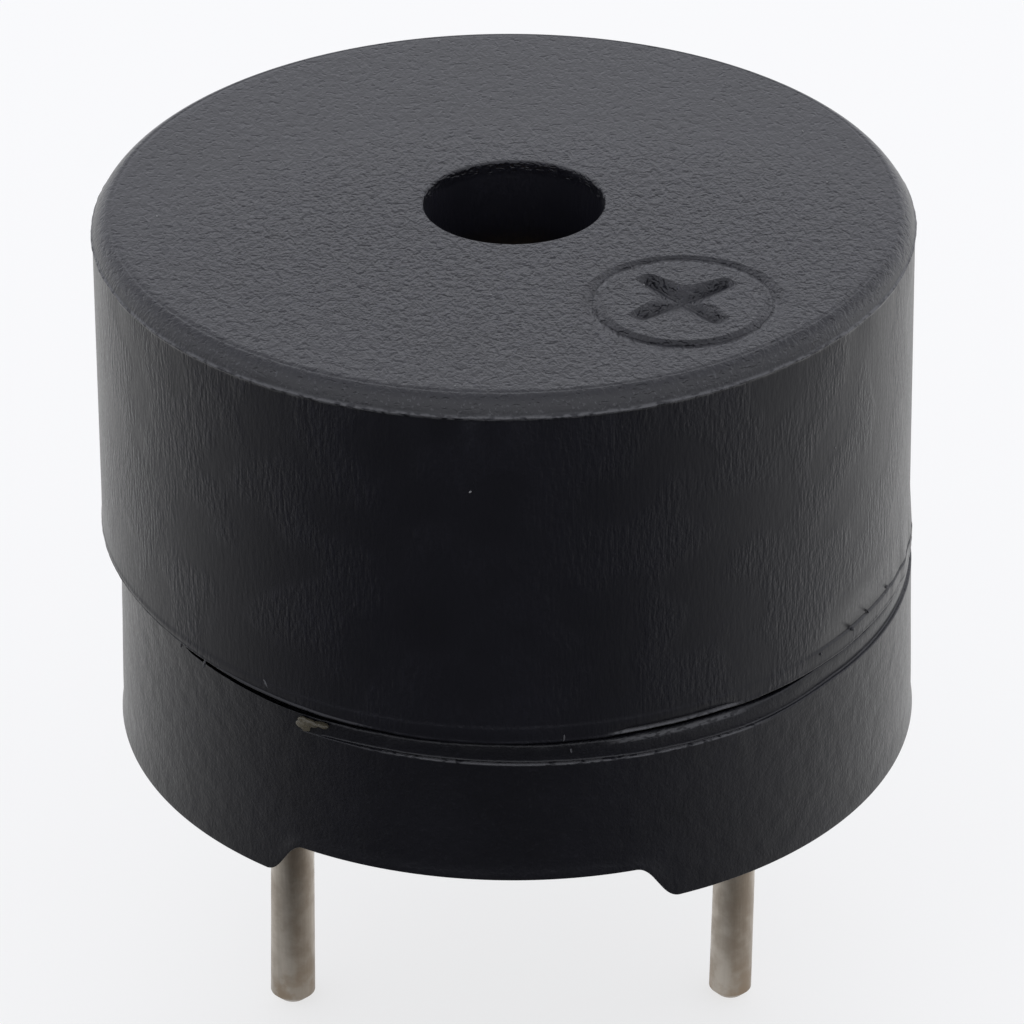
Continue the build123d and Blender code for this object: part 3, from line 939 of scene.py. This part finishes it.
class BUZZER_OT_pins(bpy.types.Operator):
    """Make both tinned pins"""

    bl_idname = "buzzer.pins"
    bl_label = "Pins"

    def execute(self, context):
        s, colours = context.scene.buzzer_sizes, context.scene.buzzer_colours
        values = {
            "Radius": s.pin_radius,
            "Spread": s.pin_spread,
            "Bottom": PIN_Z[0],
            "Top": PIN_Z[1],
            "Pivot": RESIN_Z[0],
            "Tip": 0.12,
            "Offset": s.pin_offset,
            "Lean left": s.lean_left,
            "Lean right": s.lean_right,
            "Uneven": 0.05,
            "Material": tinned_metal("tin_plate", colours.pins),
        }
        pins = run_tree("pins", pin_tree(), values)
        smooth(pins.data)
        pins.data.set_sharp_from_angle(angle=math.radians(30))
        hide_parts("pin_positive", "pin_negative")
        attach(pins, "root")
        return {"FINISHED"}


# Burrs, crumbs and glue along the seam: angle from the front, height, distance out of the wall,
# width along the seam, height, thickness, and lean, in degrees and millimetres
PALE_BURRS = (
    (-46.0, 3.13, -0.02, 0.035, 0.16, 0.04, 14.0),
    (-51.0, 3.2, -0.02, 0.03, 0.08, 0.04, 4.0),
    (-34.5, 3.28, -0.01, 0.03, 0.15, 0.03, -32.0),
    (7.5, 2.98, 0.0, 0.02, 0.1, 0.03, 6.0),
    (8.6, 2.68, -0.12, 0.025, 0.08, 0.04, -8.0),
)
DARK_BURRS = (
    (55.5, 3.16, 0.0, 0.1, 0.05, 0.05, 10.0),
    (60.0, 3.2, 0.0, 0.05, 0.03, 0.04, 0.0),
    (66.5, 3.25, 0.0, 0.08, 0.035, 0.04, 0.0),
    (48.0, 3.12, 0.0, 0.06, 0.04, 0.04, 0.0),
)
GLUE = (
    (-28.6, 2.77, -0.13, 0.34, 0.13, 0.1, 6.0),
    (-29.3, 2.71, -0.12, 0.26, 0.14, 0.08, 0.0),
    (-26.6, 2.77, -0.15, 0.24, 0.08, 0.12, 4.0),
    (-29.0, 2.66, -0.11, 0.16, 0.1, 0.06, 0.0),
)
DUST = 34


def wall_points(s, rows):
    """Points on the case wall, each marked with a turn and a stretch."""
    places, turns, stretches = [], [], []
    for off, height, out, width, tall, thick, lean in rows:
        angle = math.radians(off - 90.0)
        radius = s.lip_radius + out
        places.append((radius * math.cos(angle) - s.cap_shift, radius * math.sin(angle), height))
        turns.append((0.0, math.radians(lean), angle + math.pi / 2))
        stretches.append((width, thick, tall))
    return places, turns, stretches


def dust_points(s, count):
    """Loose grains on the top face and the wall, scattered from a fixed seed."""
    pick = random.Random(11)
    places, turns, stretches = [], [], []
    for i in range(count):
        angle = pick.uniform(0.0, math.tau)
        size = pick.uniform(0.012, 0.03)
        if i % 3:
            radius = math.sqrt(pick.uniform(1.7 ** 2, 5.6 ** 2))
            height = s.cap_top + 0.002
        else:
            radius = s.cap_radius + 0.025
            height = pick.uniform(3.5, s.cap_top - 0.5)
        places.append((radius * math.cos(angle) - s.cap_shift, radius * math.sin(angle), height))
        turns.append(tuple(pick.uniform(0.0, math.pi) for _ in range(3)))
        stretches.append((size, size * pick.uniform(0.6, 2.2), size))
    return places, turns, stretches


def marked_points(name, places, turns, stretches):
    mesh = bpy.data.meshes.new(name)
    mesh.from_pydata(places, [], [])
    for label, values in (("turn", turns), ("stretch", stretches)):
        layer = mesh.attributes.new(label, "FLOAT_VECTOR", "POINT")
        layer.data.foreach_set("vector", [number for value in values for number in value])
    return mesh


class BUZZER_OT_specks(bpy.types.Operator):
    """Make the burrs and the glue along the seam, and the dust"""

    bl_idname = "buzzer.specks"
    bl_label = "Burrs and dust"

    def execute(self, context):
        s, colours = context.scene.buzzer_sizes, context.scene.buzzer_colours
        tree = speck_tree()
        pale = simple_finish("burr_pale", colours.burr_and_painted_highlight, 0.45, grain=12.0)
        dark = simple_finish("burr_dark", colours.cap, 0.4, grain=12.0)
        glue = simple_finish("glue", colours.glue, 0.3, grain=8.0)
        dust = simple_finish("dust", (0.25, 0.25, 0.25), 0.8, grain=20.0)
        for name, marks, rough, finish, slot in (
            ("pale_burrs", wall_points(s, PALE_BURRS), 0.04, pale, "case_plastic"),
            ("dark_burrs", wall_points(s, DARK_BURRS), 0.05, dark, "case_plastic"),
            ("glue_drops", wall_points(s, GLUE), 0.05, glue, "adhesive"),
            ("dust_grains", dust_points(s, DUST), 0.006, dust, "case_plastic"),
        ):
            mesh = marked_points(name, *marks)
            piece = run_tree(name, tree, {"Rough": rough, "Material": finish}, mesh)
            smooth(piece.data)
            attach(piece, "root")
        return {"FINISHED"}


INNER_FINISHES = {
    "chip": ("chip_plastic", (0.03, 0.03, 0.032), 0.5, 0.0),
    "solder": ("solder", (0.62, 0.62, 0.6), 0.28, 1.0),
    "resistor": ("resistor_body", (0.05, 0.05, 0.06), 0.35, 0.0),
    "brass": ("plate_brass", (0.45, 0.33, 0.16), 0.5, 1.0),
    "silicone": ("adhesive", (0.72, 0.72, 0.68), 0.5, 0.0),
    "ceramic": ("ceramic", (0.7, 0.63, 0.46), 0.45, 0.0),
    "silver": ("electrode", (0.78, 0.77, 0.73), 0.4, 1.0),
    "copper": ("lead_wire", (0.6, 0.24, 0.1), 0.3, 1.0),
    "legs": ("tinned_wire", (0.55, 0.54, 0.52), 0.35, 1.0),
}


class BUZZER_OT_inner(bpy.types.Operator):
    """Give the resin, the board and the parts inside the case their finishes"""

    bl_idname = "buzzer.inner"
    bl_label = "Inner parts"

    def execute(self, context):
        colours = context.scene.buzzer_colours
        made = {}
        for finish, (slot, colour, rough, metallic) in INNER_FINISHES.items():
            made[slot] = simple_finish(finish, colour, rough, metallic)
        made["resin"] = simple_finish("resin", colours.resin, 0.18, grain=1.5, depth=0.03)
        made["board"] = simple_finish("solder_mask", colours.board, 0.3, grain=4.0)
        used = {part["node"]: part["material_slot"] for part in frame["record"]["subparts"]}
        for node, piece in frame["nodes"].items():
            slot = used.get(node)
            if slot in made:
                paint(piece, made[slot])
        return {"FINISHED"}


def soft_lamp(name, place, aim, size, power):
    """Rectangular lamp; place, aim and size in millimetres."""
    lamp = bpy.data.lights.new(name, "AREA")
    lamp.shape = "RECTANGLE"
    lamp.size, lamp.size_y = size[0] * MM, size[1] * MM
    lamp.energy = power
    holder = add_object(name, lamp)
    holder.location = Vector(place) * MM
    direction = Vector(aim) * MM - holder.location
    holder.rotation_euler = direction.to_track_quat("-Z", "Y").to_euler()


# Surroundings: dark behind the camera, pale at the sides and behind; ends of the change along Y, both levels,
# and the level overhead
PALE_FROM, PALE_TO, DARK, PALE, OVERHEAD = -0.78, 0.6, 0.04, 1.15, 0.9
FLOOR_GLOW = 0.68
DAYLIGHT = (0.97, 0.985, 1.06, 1.0)
BACKDROP = (0.985, 0.985, 0.985, 1.0)


def surround(n, x, y):
    """Level of the surroundings in a level direction; the right side counts as further back than the left."""
    lean = n.math("MULTIPLY_ADD", x, 0.14, y)
    return n.ramp(lean, PALE_FROM, PALE_TO, DARK, PALE, shape="LINEAR")


def studio_world():
    """Pale behind, beside and above the object, dark behind the camera; the camera sees white all round."""
    world = bpy.data.worlds.new("studio")
    bpy.context.scene.world = world
    world.use_nodes = True
    world.node_tree.nodes.clear()
    n = Shading(world.node_tree)
    x, y, z = n.axes(n.node("ShaderNodeTexCoord").outputs["Generated"])
    level = n.blend(n.ramp(z, 0.0, 0.4), surround(n, x, y), OVERHEAD, "FLOAT")
    lit = n.light("ShaderNodeBackground", level, DAYLIGHT)
    seen = n.light("ShaderNodeBackground", 1.0, BACKDROP)
    n.node("ShaderNodeOutputWorld", {"Surface": n.choose("Is Camera Ray", lit, seen)})


def floor_white(colour):
    """Pale floor that keeps the shadow; reflections see it as pale or dark as the surroundings behind it."""
    r = Recipe("floor_white")
    r.finish(rgba(colour), 0.9, Specular_IOR_Level=0.0)
    x, y, _ = r.place()
    reach = r.math("MAXIMUM", r.math("SQRT", r.square(x, y)), 6.0)
    across, deep = (r.math("DIVIDE", r.times(axis, 0.87), reach) for axis in (x, y))
    mirrored = r.light("ShaderNodeEmission", surround(r, across, deep))
    plain, glow = r.shader.outputs[0], r.light("ShaderNodeEmission", FLOOR_GLOW)
    glowing = r.node("ShaderNodeAddShader", {0: plain, 1: glow}).outputs[0]
    camera = r.choose("Is Camera Ray", plain, glowing)
    glossy = r.choose("Is Glossy Ray", camera, mirrored)
    r.link(glossy, r.tree.nodes["Material Output"].inputs["Surface"])
    return r.material


# Camera fitted to the photograph: focal length and image width in pixels, sensor and distance in millimetres,
# angles in degrees, the point it is fitted to, and how far right of and above the middle that point shows
FOCAL, IMAGE, SENSOR, DISTANCE, TILT, ROLL = 5206.0, 1024.0, 36.0, 78.0, 29.6, -0.43
TARGET = (-0.15, 0.0, 4.25)
OFF_MIDDLE = (6.0, 63.0)
FLOOR_SIZE = 900.0
LAMP_AIM = (0, 0, 4)


def photo_camera():
    """Camera at the photograph's place."""
    camera = bpy.data.cameras.new("camera")
    camera.sensor_width = SENSOR
    camera.lens = FOCAL * SENSOR / IMAGE
    camera.clip_start, camera.clip_end = 0.002, 10.0
    tilt, target = math.radians(TILT), Vector(TARGET)
    back = Vector((0.0, -math.cos(tilt), math.sin(tilt)))
    right, up = Vector((1.0, 0.0, 0.0)), Vector((0.0, math.sin(tilt), math.cos(tilt)))
    place = target + back * DISTANCE
    aim = target + (right * OFF_MIDDLE[0] - up * OFF_MIDDLE[1]) * (DISTANCE / FOCAL)
    turn = (aim - place).to_track_quat("-Z", "Y").to_matrix().to_4x4()
    eye = add_object("camera", camera)
    eye.matrix_world = Matrix.Translation(place * MM) @ turn @ Matrix.Rotation(math.radians(ROLL), 4, "Z")
    return eye


class BUZZER_OT_stage(bpy.types.Operator):
    """Make the floor, the lamps, the world and the camera"""

    bl_idname = "buzzer.stage"
    bl_label = "Stage"

    def execute(self, context):
        colours = context.scene.buzzer_colours
        studio_world()
        bm = bmesh.new()
        bmesh.ops.create_grid(bm, x_segments=1, y_segments=1, size=FLOOR_SIZE)
        for vertex in bm.verts:
            vertex.co.z = PIN_Z[0]
        floor = finish_mesh(bm, "studio_floor")
        paint(floor, floor_white(colours.floor))
        soft_lamp("lamp_back", (15, 95, 80), LAMP_AIM, (120, 60), 0.006)
        soft_lamp("lamp_right", (110, 30, 40), LAMP_AIM, (50, 60), 0.004)
        context.scene.camera = photo_camera()
        context.scene.view_settings.view_transform = "Standard"
        return {"FINISHED"}


class BUZZER_PT_panel(bpy.types.Panel):
    """Lists the pieces and their sizes and colours"""

    bl_idname = "BUZZER_PT_panel"
    bl_label = "Buzzer"
    bl_space_type = "VIEW_3D"
    bl_region_type = "UI"
    bl_category = "Buzzer"

    def draw(self, context):
        layout = self.layout
        for operator in OPERATORS:
            layout.operator(operator.bl_idname)
        for group in (context.scene.buzzer_sizes, context.scene.buzzer_colours):
            box = layout.box()
            for name in type(group).__annotations__:
                box.prop(group, name)


OPERATORS = (
    BUZZER_OT_cap, BUZZER_OT_base, BUZZER_OT_pins, BUZZER_OT_specks, BUZZER_OT_inner, BUZZER_OT_stage
)
CLASSES = (BuzzerSizes, BuzzerColours, *OPERATORS, BUZZER_PT_panel)


def register():
    for made in CLASSES:
        bpy.utils.register_class(made)
    bpy.types.Scene.buzzer_sizes = bpy.props.PointerProperty(type=BuzzerSizes)
    bpy.types.Scene.buzzer_colours = bpy.props.PointerProperty(type=BuzzerColours)


def unregister():
    del bpy.types.Scene.buzzer_colours
    del bpy.types.Scene.buzzer_sizes
    for made in reversed(CLASSES):
        bpy.utils.unregister_class(made)


def main():
    register()
    bpy.ops.buzzer.cap()
    bpy.ops.buzzer.base()
    bpy.ops.buzzer.pins()
    bpy.ops.buzzer.specks()
    bpy.ops.buzzer.inner()
    bpy.ops.buzzer.stage()


if __name__ == "__main__":
    main()
